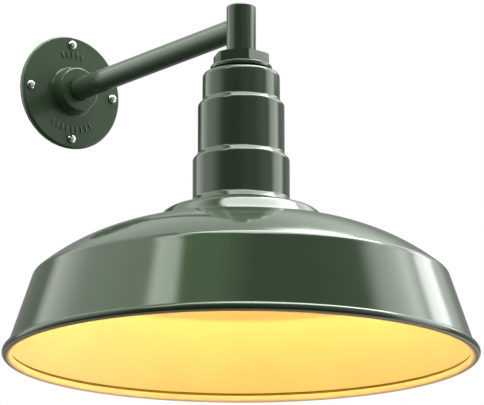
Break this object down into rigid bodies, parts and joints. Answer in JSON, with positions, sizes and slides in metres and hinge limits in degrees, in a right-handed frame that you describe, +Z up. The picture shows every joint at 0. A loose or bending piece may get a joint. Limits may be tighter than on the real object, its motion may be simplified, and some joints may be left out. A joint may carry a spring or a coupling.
{
  "type": "outdoor wall lantern",
  "caption": "Wall lantern with a wide enamelled dome shade on a stepped neck, held out from a round wall plate by a straight arm; the bulb screws out of its lampholder.",
  "frame": {"origin": "centre of the wall gasket's back face, on the arm's axis", "axes": "+Z up, +Y into the wall, the arm runs along -Y to the vertical lamp axis"},
  "size_m": [0.4064, 0.4772, 0.3451],
  "materials": {
    "green_enamel": "high gloss",
    "stainless": "polished",
    "zinc_steel": "zinc plated",
    "brass": "bright",
    "black_rubber": "matt",
    "porcelain": "glazed",
    "warm_glass": "frosted, lit",
    "black_glass": "gloss",
    "lead_sleeving": "woven sleeve"
  },
  "bodies": {
    "fixture": {"wall_gasket": "black_rubber", "wall_plate": "green_enamel", "plate_screw_1": "stainless", "plate_screw_2": "stainless", "plate_screw_3": "stainless", "plate_screw_4": "stainless", "terminal_block": "porcelain", "arm_tube": "green_enamel", "hub_stem": "green_enamel", "hex_nut": "green_enamel", "nut_washer": "green_enamel", "neck_gasket": "black_rubber", "neck_housing": "green_enamel", "lock_washer": "zinc_steel", "inner_locknut": "zinc_steel", "shade": "green_enamel", "shade_screw_1": "zinc_steel", "shade_screw_2": "zinc_steel", "shade_screw_3": "zinc_steel", "socket_body": "porcelain", "socket_shell": "brass", "socket_contact": "brass", "socket_bracket": "zinc_steel", "socket_screw_1": "zinc_steel", "socket_screw_2": "zinc_steel", "lead_sleeve": "lead_sleeving"},
    "bulb_lift": {"bulb_contact": "brass", "bulb_insulator": "black_glass"},
    "bulb_turn": {"bulb_shell": "brass", "bulb_glass": "warm_glass"}
  },
  "joints": [
    {"name": "bulb_lift", "type": "slide", "parent": "fixture", "child": "bulb_lift", "axis": [0, 0, -1], "range_m": [0, 0.0146]},
    {"name": "bulb_turn", "type": "hinge", "parent": "bulb_lift", "child": "bulb_turn", "pos_m": [0, -0.274, -0.1571], "axis": [0, 0, -1], "range_deg": [0, 1440]}
  ],
  "couplings": [
    {"joint": "bulb_lift", "follows": "bulb_turn", "m_per_rad": 0.00057757}
  ]
}
